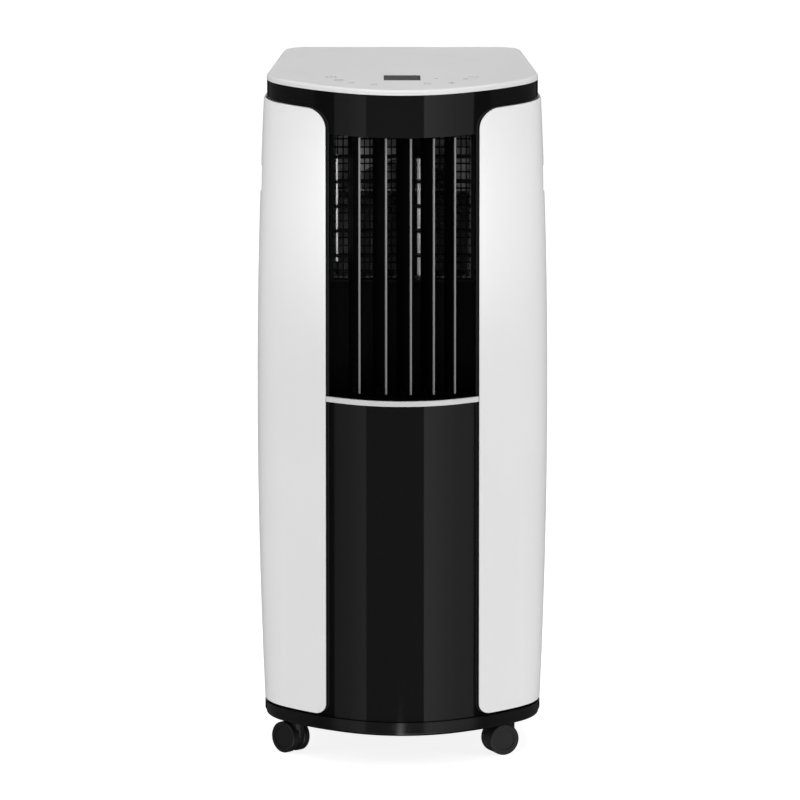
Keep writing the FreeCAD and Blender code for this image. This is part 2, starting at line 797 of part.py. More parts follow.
def make_link_bar():
    x, y = link_point()
    piece = Piece("link_bar")
    reach = dim("vane_pitch") * 2 + 4
    piece.pad("XY", dim("outlet_foot") + 1, [rectangle(-reach, -3, reach, 3)], 2)
    hole = dim("link_pin") + dim("pivot_play")
    piece.pocket("XY", dim("outlet_foot"), [circle(dim("vane_pitch") * i, 0, hole) for i in range(-2, 3)], 5)
    piece.place(x, y, 0)
    keep(piece.body, "link_bar")


def make_swing_motor():
    piece = Piece("swing_motor")
    low = dim("outlet_head") + 6.3
    piece.pad("XY", low, [circle(0, dim("vane_y") + 8, 14)], 18)
    piece.pad("XY", low, [rectangle(-22, dim("vane_y") + 5, 22, dim("vane_y") + 11)], 1.5)
    piece.pocket("XY", low - 1, [circle(0, dim("vane_y"), dim("pivot_radius") + 0.1)], 9)
    keep(piece.body, "swing_motor")


def plate_with_windows(outer, windows, at_y, thick):
    """A flat plate in the X-Z plane with rectangular windows, running from at_y towards -Y."""
    def loop(box):
        x0, z0, x1, z1 = box
        points = [Vector(x0, at_y, z0), Vector(x1, at_y, z0), Vector(x1, at_y, z1), Vector(x0, at_y, z1)]
        return Part.makePolygon(points + points[:1])

    face = Part.Face(loop(outer))
    holes = Part.makeCompound([Part.Face(loop(box)) for box in windows])
    return face.cut(holes).extrude(Vector(0, -thick, 0))


def make_guards():
    wide = dim("outlet_half").value - 0.5
    head = dim("outlet_head").value - 1.5
    foot, pitch, bar = 545.0, 28.0, 2.4
    # the ladder of level guide blades
    windows = []
    posts = [-wide + 3, -58, -31.5, -4.5, 12, 31, 58, wide - 3]
    for i in range(6):
        low = foot + pitch * i + bar
        for x0, x1 in zip(posts, posts[1:]):
            windows.append((x0 + 1.2, low, x1 - 1.2, min(low + pitch - bar, head - 1.5)))
    ladder = plate_with_windows((-wide, foot, wide, head), windows, -113.0, 9.0)
    keep(group("guide_grille", [ladder]), "guide_grille")
    # the finger guard behind it, with a fine mesh
    cell_x, cell_z, wire = 6.0, 9.33, 1.3
    windows = []
    columns = int((2 * wide - 6) // cell_x)
    for i in range(columns):
        x0 = -wide + 3 + cell_x * i
        if 12 < x0 + cell_x / 2 < 30:
            continue
        for j in range(18):
            z0 = foot + 2.4 + cell_z * j
            windows.append((x0 + wire / 2, z0, x0 + cell_x - wire / 2, z0 + cell_z - wire))
    for i in range(5):
        windows.append((14, foot + pitch * i + bar, 29, foot + pitch * (i + 1)))
    mesh = plate_with_windows((-wide, foot, wide, head), windows, -108.0, 2.0)
    keep(group("finger_guard", [mesh]), "finger_guard")


def make_outlet_duct():
    """A moulded duct from the blower to the outlet, with a splitter wall."""
    piece = Piece("outlet_duct")

    def roof(y):
        return 690 + (29.5 - y) * 0.17

    def side_view(front, back, wall):
        sill = 622 + wall
        return [
            corner(back, sill),
            corner(back, roof(back) - wall),
            corner(front, roof(front) - wall),
            corner(front, 546 + wall),
            corner(-66, 546 + wall),
            corner(-24, sill),
        ]

    piece.pad("YZ", -78, [side_view(-103.5, 29.5, 0)], 156)
    piece.pocket("YZ", -75.5, [side_view(-110, 40, 2.5)], 151)
    keep(piece.body, "outlet_duct")
    splitter = Piece("duct_splitter")
    splitter.pad("YZ", 16.5, [side_view(-102, 28, 2.8)], 10)
    keep(splitter.body, "duct_splitter")


def make_exhaust_duct():
    """The box that turns the lower blower's air to the exhaust collar."""
    piece = Piece("exhaust_duct")
    z, wall = dim("exhaust_z"), 2.5
    half = dim("exhaust_radius") + 10
    front, back = dim("fan_y"), dim("back_y") - dim("core_gap") - 3
    low, head = dim("lower_fan_z") + 101, z + half - 3
    sump, behind_fan = z - half, front + 62
    inner = half - wall
    piece.pad("XY", low, [rectangle(-half, front, half, back)], head - low)
    piece.pad("XY", sump, [rectangle(-half, behind_fan, half, back)], low + wall - sump)
    blower_mouth = rectangle(-inner, front + wall, inner, front + 57.5)
    piece.pocket("XY", low - 1, [blower_mouth], 20)
    room = rectangle(-inner, front + wall, inner, back - wall)
    piece.pocket("XY", low + wall, [room], head - low - 2 * wall)
    well = rectangle(-inner, behind_fan + wall, inner, back - wall)
    piece.pocket("XY", sump + wall, [well], low + wall - sump)
    piece.pocket("XZ", back + 1, [circle(0, z, dim("exhaust_radius") + 3.8)], 10)
    keep(piece.body, "exhaust_duct")


# ---------------------------------------------------------------- inside


def make_mid_deck():
    half = dim("half_end")
    piece = Piece("mid_deck")
    piece.pad("XY", dim("deck_z"), [plan(half, 10)], 4)
    piece.pad("XY", dim("deck_z") + 4, [plan(half, 10), plan(half, 13)], 8)
    piece.pocket("XY", dim("deck_z") - 1, [rectangle(-300, -300, 300, -103.5)], 60)
    piece.pocket("XY", dim("deck_z") - 1, [rectangle(74, -60, 124, 60)], 20)
    keep(piece.body, "mid_deck")


def make_coil(name, low, high, y0):
    """A fin block between two end plates, and the copper bends on its ends."""
    deep, wide = 26.0, 94.0
    fins = Part.makeBox(2 * wide, deep, high - low, Vector(-wide, y0, low))
    slots = []
    pitch = 7.0
    count = int((2 * wide - 8) // pitch)
    for i in range(count):
        x = -wide + 5 + pitch * i
        slots.append(Part.makeBox(3.4, 5, high - low - 8, Vector(x, y0 - 0.01, low + 4)))
        slots.append(Part.makeBox(3.4, 5, high - low - 8, Vector(x, y0 + deep - 4.99, low + 4)))
    keep(group(f"{name}_fins", [fins.cut(Part.makeCompound(slots))]), f"{name}_fins")
    bends = []
    radius, tube = 10.0, 3.5
    for side in (-1, 1):
        first = low + (20 if side < 0 else 40)
        clear_x = wide + 0.05 if side > 0 else -wide - 30.05
        outer = Part.makeBox(30, 30, high - low, Vector(clear_x, y0, low))
        for i in range(int((high - first - 24) // 40) + 1):
            centre = Vector(side * wide, y0 + deep / 2, first + 40 * i + radius)
            ring = Part.makeTorus(radius, tube, centre, Vector(0, 1, 0))
            bends.append(ring.common(outer))
    return bends


def make_blower(name, z, top, ceiling, throat=None):
    """A scroll casing with its wheel and motor, all on an axis along Y.

    top and ceiling are the outside and inside heights of the outlet above the axis; throat is
    an outline cut in the front wall.
    """
    radius, width, y0 = dim("fan_radius"), dim("fan_width"), dim("fan_y")
    scroll = Piece(f"{name}_scroll")
    deep = width + 14
    outer = radius + 14
    scroll.pad("XZ", y0 + deep, [circle(0, z, outer)], deep)
    scroll.pad("XZ", y0 + deep, [rectangle(-outer + 4, z, outer - 0.5, z + top)], deep)
    hollow = outer - 2.5
    scroll.pocket("XZ", y0 + deep - 2.5, [circle(0, z, hollow)], deep - 5)
    scroll.pocket("XZ", y0 + deep - 2.5, [rectangle(-hollow + 4, z, hollow - 0.5, z + ceiling)], deep - 5)
    scroll.pocket("XZ", y0 + deep + 1, [circle(0, z, radius - 14)], 5)
    scroll.pocket("XZ", y0 + 3, [circle(0, z, 16)], 5)
    if throat is not None:
        scroll.pocket("XZ", y0 + 3, [throat], 5)
    keep(scroll.body, f"{name}_scroll")

    wheel = Piece(f"{name}_wheel")
    wheel.pad("XY", 0, [circle(0, 0, radius)], 2.5)
    wheel.pad("XY", 0, [circle(0, 0, 12)], 22)
    wheel.pad("XY", width - 3, [circle(0, 0, radius), circle(0, 0, radius - 9)], 3)
    blade = [
        corner(radius - 10, -2, (radius - 10, 6, 8, True)),
        corner(radius - 2, 6),
        corner(radius - 3.4, 6, (radius - 10, 6, 6.6, False)),
        corner(radius - 10, -0.6),
    ]
    fin = wheel.pad("XY", 2, [blade], width - 3.5)
    wheel.polar(fin, 40)
    wheel.pocket("XY", -1, [circle(0, 0, 4.05)], 40)
    wheel.body.Placement = Placement(Vector(0, 0, 0), Rotation(Vector(1, 0, 0), -90))
    wheel.body.setExpression("Placement.Base.y", (y0 + 6).text)
    wheel.body.setExpression("Placement.Base.z", z.text)
    keep(wheel.body, f"{name}_wheel")

    motor = Piece(f"{name}_motor")
    motor.pad("XZ", y0 - 1, [circle(0, z, 38)], 46)
    motor.round_edges("Fillet", 5, lambda e: e.Curve.TypeId == "Part::GeomCircle")
    motor.pad("XZ", y0 - 0.4, [rectangle(-48, z - 9, 48, z + 9)], 2)
    motor.pad("XZ", y0 + 26, [circle(0, z, 4)], 30)
    motor.pad("XZ", y0 + 1, [circle(0, z, 14)], 4)
    keep(motor.body, f"{name}_motor")


def make_compressor():
    radius = dim("compressor_radius")
    y = dim("compressor_y")
    piece = Piece("compressor")
    low, high = 66, 290
    profile = [
        corner(0, low),
        corner(radius - 22, low, (radius - 22, low + 22, 22, True)),
        corner(radius, low + 22),
        corner(radius, high - 26, (radius - 26, high - 26, 26, True)),
        corner(radius - 26, high),
        corner(0, high),
    ]
    piece.revolve([profile])
    piece.pad("XY", 60, [circle(0, 0, 34)], 8)
    piece.pad("XY", 57, [rectangle(-58, -16, 58, 16)], 4)
    for x in (-50, 50):
        piece.pocket("XY", 55, [circle(x, 0, 5)], 9)
    piece.pad("XY", high - 2, [circle(14, 0, 9)], 9)
    piece.place(-18, y, 0)
    keep(piece.body, "compressor")

    tank = Piece("accumulator")
    tank.pad("XY", 120, [circle(0, 0, 23)], 130)
    tank.round_edges("Fillet", 11, lambda e: e.Curve.TypeId == "Part::GeomCircle")
    tank.pad("XY", 249, [circle(0, 0, 5)], 12)
    tank.place(60, -64, 0)
    keep(tank.body, "accumulator")

    feet = []
    for x in (-68, 32):
        foot = Part.makeCylinder(11, 16.9, Vector(x, y.value, 40.05))
        feet.append(foot.cut(Part.makeCylinder(4.1, 30, Vector(x, y.value, 38))))
    keep(group("compressor_grommets", feet), "compressor_grommets")


def pipe(points, radius, bend):
    """A round pipe along straight runs joined by arcs of one bend radius."""
    edges = []
    start = Vector(*points[0])
    for before, at, after in zip(points, points[1:], points[2:]):
        at = Vector(*at)
        back = (Vector(*before) - at).normalize()
        on = (Vector(*after) - at).normalize()
        half = math.acos(max(-1, min(1, back.dot(on)))) / 2
        length = bend / math.tan(half)
        first, last = at + back * length, at + on * length
        middle_way = (back + on).normalize()
        middle = at + middle_way * (bend / math.sin(half) - bend)
        edges.append(Part.LineSegment(start, first).toShape())
        edges.append(Part.Arc(first, middle, last).toShape())
        start = last
    edges.append(Part.LineSegment(start, Vector(*points[-1])).toShape())
    spine = Part.Wire(edges)
    heading = (Vector(*points[1]) - Vector(*points[0])).normalize()
    profile = Part.Wire(Part.makeCircle(radius, Vector(*points[0]), heading))
    return spine.makePipeShell([profile], True, True)


def make_pipes():
    y = dim("compressor_y").value
    discharge = [
        (-4, y, 297.4),
        (-4, y, 330),
        (-60, y, 330),
        (-114, -20, 330),
        (-114, 128, 330),
        (-114, 128, 280),
    ]
    suction = [
        (60, -64, 261.4),
        (60, -64, 345),
        (84, -35, 345),
        (84, -35, 428),
        (110, 40, 428),
        (110, 128, 470),
        (110, 128, 500),
    ]
    return pipe(discharge, 3.2, 14), pipe(suction, 4.8, 14)


def make_electrics():
    box = Piece("control_box")
    box.pad("YZ", 100, [rectangle(-70, 552, 66, 700)], 34)
    box.pocket("YZ", 102.5, [rectangle(-67.5, 554.5, 63.5, 697.5)], 40)
    keep(box.body, "control_box")
    board = Piece("control_board")
    board.pad("YZ", 108, [rectangle(-64, 558, 60, 694)], 1.6)
    parts = [rectangle(-50, 600, -24, 640), rectangle(-10, 640, 20, 676), rectangle(20, 570, 50, 596)]
    board.pad("YZ", 109.6, parts, 12)
    for yy in (-60, 56):
        board.pad("YZ", 102.6, [circle(yy, 562, 2.5), circle(yy, 690, 2.5)], 5.4)
    keep(board.body, "control_board")
    capacitor = Piece("run_capacitor")
    capacitor.pad("YZ", 109.8, [rectangle(-18, 566, 12, 592)], 22)
    capacitor.round_edges("Fillet", 3, lambda e: abs(e.BoundBox.XLength - 22) < 0.01)
    keep(capacitor.body, "run_capacitor")
    display = Piece("display_board")
    display.pad("XY", 758, [rectangle(-88, -112, 88, -36)], 1.6)
    display.pad("XY", 759.6, [rectangle(-16, -94, 15, -64)], 7)
    keep(display.body, "display_board")


# ---------------------------------------------------------------- casters

CASTERS = {
    # name: (side, row, axle direction in degrees from +X at rest)
    "fl": (-1, "caster_front", 45),
    "fr": (1, "caster_front", 113.5),
    "rl": (-1, "caster_back", 170),
    "rr": (1, "caster_back", 20),
}


def caster_wheels():
    """Two wheels with shallow dished faces, and the axle that joins them, along X."""
    radius, width, axle = dim("wheel_radius").value, dim("wheel_width").value, dim("axle_radius").value
    inner = dim("fork_width").value / 2 + 0.35
    cap, dish_depth = 2.4, 0.9

    def along(start, length, size):
        return Part.makeCylinder(size, length, Vector(start, dim("trail").value, radius), Vector(1, 0, 0))

    wheels = []
    for side in (-1, 1):
        disc = along(inner if side > 0 else -inner - width, width, radius)
        disc = disc.makeFillet(1.6, [e for e in disc.Edges if e.Curve.TypeId == "Part::GeomCircle"])
        face = inner + width
        dish = along(face - dish_depth if side > 0 else -face, dish_depth, 12.2)
        bore = along(inner if side > 0 else -face + cap, width - cap, axle)
        wheels.append(disc.cut(dish).cut(bore))
    length = 2 * (inner + width - cap)
    return wheels + [along(-length / 2, length, axle)]


def make_casters():
    radius, width, fork = dim("wheel_radius"), dim("wheel_width"), dim("fork_width")
    trail, stem, axle = dim("trail"), dim("stem_radius"), dim("axle_radius")
    for name, (side, row, angle) in CASTERS.items():
        turn = plain(angle)
        x, y = dim("caster_x") * side, dim(row)
        # the local frame: the axle along X, the wheels trailing towards local +Y
        housing = Piece(f"caster_housing_{name}")
        half = fork / 2
        housing.pad("YZ", -half, [circle(trail, radius, radius - 1)], fork)
        housing.pad("XY", radius, [circle(0, 0, 7.5)], dim("base_bottom") - radius - 0.4)
        housing.pad("XY", dim("base_bottom") - 0.4, [circle(0, 0, stem)], 20)
        housing.pocket("YZ", -half - 1, [circle(trail, radius, axle + 0.05)], fork + 2)
        for s in (-1, 1):
            at = half + 0.35 if s > 0 else -half - 0.35 - width
            housing.pocket("YZ", at - 0.3, [circle(trail, radius, radius + 0.6)], width + 0.6)
        housing.place(x, y, 0, turn=turn)
        keep(housing.body, f"caster_housing_{name}")
        both = group(f"caster_wheels_{name}", caster_wheels())
        both.Placement = Placement(Vector(number(x), number(y), 0), Rotation(Vector(0, 0, 1), angle))
        keep(both, f"caster_wheels_{name}")


# ---------------------------------------------------------------- fasteners


def screw(x, y, z, direction, head=3.6, shank=1.8, length=9.0):
    """A pan-head screw whose head's underside is at the given point."""
    axis = Vector(*direction)
    body = Part.makeCylinder(shank, length, Vector(x, y, z), axis * -1)
    top = Part.makeCylinder(head, 2.2, Vector(x, y, z), axis)
    slot = Part.makeBox(0.9, 5.0, 1.2, Vector(-0.45, -2.5, 1.2))
    slot.Placement = Placement(Vector(x, y, z), Rotation(Vector(0, 0, 1), axis)).multiply(slot.Placement)
    return body.fuse(top).cut(slot)


def make_screws():
    back = dim("back_y").value - dim("core_gap").value
    screws = [screw(x, back + 0.05, z, (0, 1, 0)) for x, z in REAR_SCREWS]
    keep(group("rear_screws", screws), "rear_screws")


make_base_tray()
make_front_pieces()
make_side_panels()
make_top_cover()
make_rear_cover()
make_filter("upper_filter", dim("upper_filter_foot"), dim("upper_filter_head"))
make_filter("lower_filter", dim("lower_filter_foot"), dim("lower_filter_head"))
make_exhaust_collar()
make_rear_fittings()
make_outlet_frame()
make_vanes()
make_link_bar()
make_swing_motor()
make_guards()
make_outlet_duct()
make_exhaust_duct()
make_mid_deck()
evaporator_bends = make_coil("evaporator", 424.5, 704.5, 120.0)
condenser_bends = make_coil("condenser", 41.0, 270.0, 120.0)
make_blower("upper_blower", dim("upper_fan_z"), 118, 115.5, rectangle(-70, 627, 74, 686))
make_blower("lower_blower", dim("lower_fan_z"), 100, 101)
make_compressor()
discharge_pipe, suction_pipe = make_pipes()
keep(group("evaporator_tubes", evaporator_bends + [suction_pipe]), "evaporator_tubes")
keep(group("condenser_tubes", condenser_bends + [discharge_pipe]), "condenser_tubes")
make_electrics()
make_casters()
make_screws()

# ---------------------------------------------------------------- checks and export

doc.recompute()
for item in doc.Objects:
    if any(word in item.State for word in ("Invalid", "Error")):
        raise RuntimeError(f"{item.Name} ({item.Label}) is {item.State}")

os.makedirs("parts", exist_ok=True)
for name, item in NODES.items():
    shape = item.Shape
    if shape.isNull() or not shape.isValid() or shape.Volume <= 0:
        raise RuntimeError(f"{name} is null, broken or empty")
    shape.exportStep(os.path.join("parts", f"{name}.step"))
    print(f"{name:24s} solids {len(shape.Solids)}  volume {shape.Volume / 1000:9.2f} cm3")
print(len(NODES), "nodes")
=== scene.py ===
import math

import bmesh
import bpy
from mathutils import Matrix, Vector


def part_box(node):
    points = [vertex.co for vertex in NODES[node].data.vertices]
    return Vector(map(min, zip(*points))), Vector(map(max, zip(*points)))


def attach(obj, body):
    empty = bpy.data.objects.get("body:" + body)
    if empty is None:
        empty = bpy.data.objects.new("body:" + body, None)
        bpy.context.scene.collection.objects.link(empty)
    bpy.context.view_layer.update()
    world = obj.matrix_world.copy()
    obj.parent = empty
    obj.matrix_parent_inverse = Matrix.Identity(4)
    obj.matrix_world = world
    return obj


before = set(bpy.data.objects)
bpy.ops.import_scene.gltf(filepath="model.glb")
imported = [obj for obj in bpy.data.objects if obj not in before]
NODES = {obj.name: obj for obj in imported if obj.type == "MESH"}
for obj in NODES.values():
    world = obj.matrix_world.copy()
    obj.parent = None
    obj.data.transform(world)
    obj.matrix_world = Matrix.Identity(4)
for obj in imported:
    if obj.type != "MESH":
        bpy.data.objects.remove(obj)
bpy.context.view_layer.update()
MM = 0.001


# ---------------------------------------------------------------- finishes


# Nearly all of a noise texture's values lie between these two.
NOISE_LOW = 0.3
NOISE_HIGH = 0.7


class Finish:
    """A Principled material whose colour, roughness and relief come from nodes in object space."""

    def __init__(self, name, **shader):
        self.material = bpy.data.materials.new(name)
        self.material.use_nodes = True
        self.nodes = self.material.node_tree.nodes
        self.links = self.material.node_tree.links
        self.shader = self.nodes["Principled BSDF"]
        self.place = self.nodes.new("ShaderNodeTexCoord").outputs["Object"]
        for socket, value in shader.items():
            self.shader.inputs[socket.replace("_", " ")].default_value = value

    def node(self, kind, inputs, **settings):
        """A shader node with its inputs linked or set, each by its socket's name or number."""
        node = self.nodes.new(f"ShaderNode{kind}")
        for key, value in settings.items():
            setattr(node, key, value)
        for socket, value in inputs.items():
            if isinstance(value, bpy.types.NodeSocket):
                self.links.new(value, node.inputs[socket])
            else:
                node.inputs[socket].default_value = value
        return node

    def stretched(self, scale):
        return self.node("Mapping", {"Vector": self.place, "Scale": scale}).outputs["Vector"]

    def noise(self, scale, detail, stretch=None):
        vector = self.place if stretch is None else self.stretched(stretch)
        return self.node("TexNoise", {"Vector": vector, "Scale": scale, "Detail": detail}).outputs["Fac"]

    def wave(self, scale, direction, distortion=0.0):
        settings = {"Vector": self.place, "Scale": scale, "Distortion": distortion}
        return self.node("TexWave", settings, bands_direction=direction).outputs["Fac"]

    def spread(self, value, low, high):
        """A noise's values spread from low to high."""
        ends = {"Value": value, "From Min": NOISE_LOW, "From Max": NOISE_HIGH, "To Min": low, "To Max": high}
        return self.node("MapRange", ends).outputs["Result"]

    def maths(self, operation, first, second):
        return self.node("Math", {0: first, 1: second}, operation=operation).outputs["Value"]

    def mix(self, factor, dark, light):
        """A mix of two colours, each an RGB triple or another node's output."""
        node = self.node("Mix", {"Factor": factor}, data_type="RGBA")
        for socket, colour in ((6, dark), (7, light)):
            if isinstance(colour, bpy.types.NodeSocket):
                self.links.new(colour, node.inputs[socket])
            else:
                node.inputs[socket].default_value = (*colour, 1.0)
        return node.outputs[2]

    def colour(self, dark, light, factor):
        self.paint(self.mix(factor, dark, light))

    def paint(self, socket):
        self.links.new(socket, self.shader.inputs["Base Color"])

    def rough(self, low, high, factor):
        self.links.new(self.spread(factor, low, high), self.shader.inputs["Roughness"])

    def relief(self, height, depth):
        """A fine surface relief, its depth in metres."""
        bump = self.node("Bump", {"Height": height, "Distance": depth})
        self.links.new(bump.outputs["Normal"], self.shader.inputs["Normal"])


def grey(value, blue=1.0):
    """A neutral colour of one linear value, with its blue part raised or lowered."""
    return (value, value, value * blue)


def moulded(name, shade, roughness, grain=0.00006, coat=0.0, specular=0.5):
    """A moulded plastic: slight flow marks in its colour, uneven gloss, and a fine grain."""
    finish = Finish(name, Coat_Weight=coat, Coat_Roughness=0.04, Specular_IOR_Level=specular)
    clouds = finish.noise(6.0, 4.0)
    dust = finish.noise(22.0, 1.0)
    finish.colour(grey(shade * 0.96), grey(shade * 1.03), clouds)
    finish.rough(roughness * 0.94, roughness * 1.06, dust)
    finish.relief(finish.noise(900.0, 2.0), grain)
    return finish.material


def gloss_black(name, shade, roughness):
    """Polished black plastic, with faint smears that only show in its gloss."""
    finish = Finish(name, IOR=1.49)
    smears = finish.noise(9.0, 5.0, stretch=(1.0, 1.0, 0.35))
    finish.colour(grey(shade * 0.9), grey(shade * 1.15, blue=1.06), smears)
    finish.rough(roughness * 0.8, roughness * 1.3, smears)
    finish.relief(finish.noise(420.0, 1.0), 0.0000015)
    return finish.material


def satin_metal(name, shade, roughness, metallic):
    """A satin metal or silver paint with fine level streaks."""
    finish = Finish(name, Metallic=metallic)
    streaks = finish.noise(40.0, 3.0, stretch=(1.0, 1.0, 60.0))
    finish.colour(grey(shade * 0.88), grey(shade * 1.08), streaks)
    finish.rough(roughness * 0.8, roughness * 1.25, streaks)
    finish.relief(streaks, 0.00001)
    return finish.material


def rubber(name, shade):
    """Dull rubber with a slight bloom."""
    finish = Finish(name, Specular_IOR_Level=0.3)
    bloom = finish.noise(60.0, 5.0)
    finish.colour(grey(shade * 0.8), grey(shade * 1.5), bloom)
    finish.rough(0.62, 0.85, bloom)
    finish.relief(finish.noise(700.0, 3.0), 0.00005)
    return finish.material


def woven_mesh(name):
    """The filter's nylon net: two sets of fine threads, with painted shade in the openings between them."""
    finish = Finish(name, Sheen_Weight=0.2)
    across = finish.wave(320.0, "X")
    along = finish.wave(320.0, "Z")
    threads_and_shaded_openings = finish.maths("MAXIMUM", across, along)
    # Painted shade: the openings between the threads get the near-black colour, standing in for the shade
    # behind the net.
    finish.colour((0.012, 0.012, 0.014), (0.11, 0.11, 0.12), threads_and_shaded_openings)
    finish.rough(0.5, 0.8, threads_and_shaded_openings)
    finish.relief(threads_and_shaded_openings, 0.0003)
    return finish.material


def fins(name):
    """Bare aluminium fins, their edges packed close, with painted shade darkening the gaps between the
    edges.
    """
    finish = Finish(name, Metallic=0.9)
    edges = finish.wave(260.0, "X", 0.6)
    wear = finish.noise(30.0, 4.0)
    bright = finish.mix(wear, (0.55, 0.56, 0.58), (0.72, 0.73, 0.75))
    # Painted shade: the gaps between the fin edges get this darker colour, standing in for the shade in the
    # slots.
    gap_shade = finish.mix(wear, (0.16, 0.16, 0.17), (0.24, 0.24, 0.25))
    finish.paint(finish.mix(edges, gap_shade, bright))
    finish.rough(0.3, 0.5, wear)
    finish.relief(edges, 0.0004)
    return finish.material


def copper(name):
    """Bare copper, stained here and there."""
    finish = Finish(name, Metallic=1.0)
    stain = finish.noise(45.0, 5.0)
    finish.colour((0.62, 0.27, 0.14), (0.86, 0.47, 0.30), stain)
    finish.rough(0.3, 0.5, stain)
    finish.relief(finish.noise(300.0, 2.0), 0.00002)
    return finish.material


def circuit_board(name):
    """Green lacquer over fine tracks."""
    finish = Finish(name, Coat_Weight=0.3)
    tracks = finish.maths("GREATER_THAN", finish.wave(90.0, "DIAGONAL", 8.0), 0.62)
    finish.colour((0.008, 0.075, 0.03), (0.03, 0.18, 0.07), tracks)
    finish.rough(0.3, 0.45, tracks)
    finish.relief(tracks, 0.00004)
    return finish.material


def smoked_acrylic(name):
    """The display's dark window, a little uneven in its depth."""
    finish = Finish(name, IOR=1.49, Coat_Weight=0.4, Coat_Roughness=0.03)
    depth = finish.noise(70.0, 3.0)
    finish.colour(grey(0.110, blue=1.027), grey(0.130, blue=1.023), depth)
    finish.rough(0.16, 0.26, depth)
    finish.relief(finish.noise(500.0, 1.0), 0.000004)
    return finish.material


def foam(name):
    """White bead foam."""
    finish = Finish(name)
    beads = finish.node("TexVoronoi", {"Vector": finish.place, "Scale": 260.0}).outputs["Distance"]
    finish.colour((0.74, 0.74, 0.73), (0.92, 0.92, 0.91), beads)
    finish.rough(0.7, 0.9, beads)
    finish.relief(beads, 0.0004)
    return finish.material


FINISHES = {
    "front": gloss_black("gloss_black_front", 0.0042, 0.05),
    "rim": gloss_black("black_base_rim", 0.006, 0.16),
    "white": moulded("white_panel", 0.80, 0.30, grain=0.0000005, coat=0.05),
    "cup": moulded("white_cup", 0.74, 0.42),
    "cover": moulded("pale_cover", 0.70, 0.31, grain=0.0000005, coat=0.05),
    "rear": moulded("white_rear", 0.72, 0.45, grain=0.00008),
    "grille": moulded("white_grille", 0.70, 0.42, grain=0.00006),
    "collar": moulded("white_collar", 0.66, 0.4, grain=0.00005),
    "trim": satin_metal("silver_trim", 0.74, 0.36, 0.15),
    "display": smoked_acrylic("smoked_display"),
    "dark": moulded("dark_moulding", 0.0015, 0.45, specular=0.12),
    "guard": moulded("guard_moulding", 0.0015, 0.5, specular=0.2),
    "vane": moulded("vane_blade", 0.002, 0.38, grain=0.00002, specular=0.08),
    "edge": satin_metal("vane_edge", 0.34, 0.36, 0.5),
    "nylon": moulded("caster_nylon", 0.008, 0.31, grain=0.00003),
    "tread": moulded("caster_tread", 0.011, 0.34, grain=0.00003),
    "rubber": rubber("black_rubber", 0.02),
    "net": woven_mesh("filter_net"),
    "foam": foam("white_foam"),
    "rod": moulded("white_rod", 0.88, 0.35),
    "duct": moulded("duct_grey", 0.085, 0.5),
    "inner_white": moulded("inner_white", 0.70, 0.5),
    "wheel_grey": moulded("blower_grey", 0.22, 0.45),
    "steel": satin_metal("plated_steel", 0.62, 0.36, 1.0),
    "motor": satin_metal("painted_motor", 0.14, 0.4, 0.3),
    "shell": moulded("painted_shell", 0.014, 0.32, grain=0.00003),
    "fins": fins("aluminium_fins"),
    "copper": copper("copper_tube"),
    "board": circuit_board("green_board"),
    "capacitor": moulded("capacitor_case", 0.45, 0.4),
    "legend": moulded("printed_legend", 0.30, 0.5),
}

NODE_FINISH = {
    "base_tray": "rim", "front_panel": "front", "fascia": "front", "divider_trim": "trim",
    "side_panel_left": "white", "side_panel_right": "white",
    "handle_cup_left": "cup", "handle_cup_right": "cup",
    "top_cover": "cover", "display_window": "display", "rear_cover": "rear",
    "upper_filter_grille": "grille", "lower_filter_grille": "grille",
    "upper_filter_mesh": "net", "lower_filter_mesh": "net",
    "exhaust_collar": "collar", "drain_plug_upper": "rubber", "drain_plug_lower": "rubber",
    "cord_gland": "dark", "cord_hooks": "grille", "outlet_frame": "dark", "link_bar": "dark",
    "swing_motor": "steel", "guide_grille": "guard", "finger_guard": "guard",
    "outlet_duct": "duct", "duct_splitter": "foam", "exhaust_duct": "inner_white",
    "mid_deck": "dark", "evaporator_fins": "fins", "condenser_fins": "fins",
    "evaporator_tubes": "copper", "condenser_tubes": "copper",
    "upper_blower_scroll": "inner_white", "lower_blower_scroll": "dark",
    "upper_blower_wheel": "wheel_grey", "lower_blower_wheel": "dark",
    "upper_blower_motor": "motor", "lower_blower_motor": "motor",
    "compressor": "shell", "accumulator": "shell", "compressor_grommets": "rubber",
    "control_box": "inner_white", "control_board": "board", "run_capacitor": "capacitor",
    "display_board": "board", "rear_screws": "steel",
}


def dress_nodes():
    """Gives every CAD node its finish."""
    for name, node in NODES.items():
        if name.startswith("vane_"):
            finish = "vane"
        elif name.startswith("caster_housing"):
            finish = "nylon"
        elif name.startswith("caster_wheels"):
            finish = "tread"
        else:
            finish = NODE_FINISH[name]
        node.data.materials.clear()
        node.data.materials.append(FINISHES[finish])


EDGE_ROUNDING = 2.2 * MM
EDGE_ANGLE = math.radians(40)
WELD_REACH = 0.01 * MM


def soften_edges(names):
    """Rounds the sharp edges of CAD nodes as a moulding's are, without moving their faces."""
    for name in names:
        node = NODES[name]
        weld = node.modifiers.new("weld", "WELD")
        weld.merge_threshold = WELD_REACH
        bevel = node.modifiers.new("bevel", "BEVEL")
        bevel.width = EDGE_ROUNDING
        bevel.segments = 3
        bevel.limit_method = "ANGLE"
        bevel.angle_limit = EDGE_ANGLE
        bevel.harden_normals = True


# ---------------------------------------------------------------- added pieces


def mesh_piece(name, build, finish, body):
    """Adds a piece that rides on a body: build(bm) fills its mesh."""
    mesh = bpy.data.meshes.new(name)
    bm = bmesh.new()
    build(bm)
    bmesh.ops.recalc_face_normals(bm, faces=bm.faces)
    bm.to_mesh(mesh)
    bm.free()
    piece = bpy.data.objects.new(name, mesh)
    bpy.context.scene.collection.objects.link(piece)
    mesh.materials.append(FINISHES[finish])
    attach(piece, body)


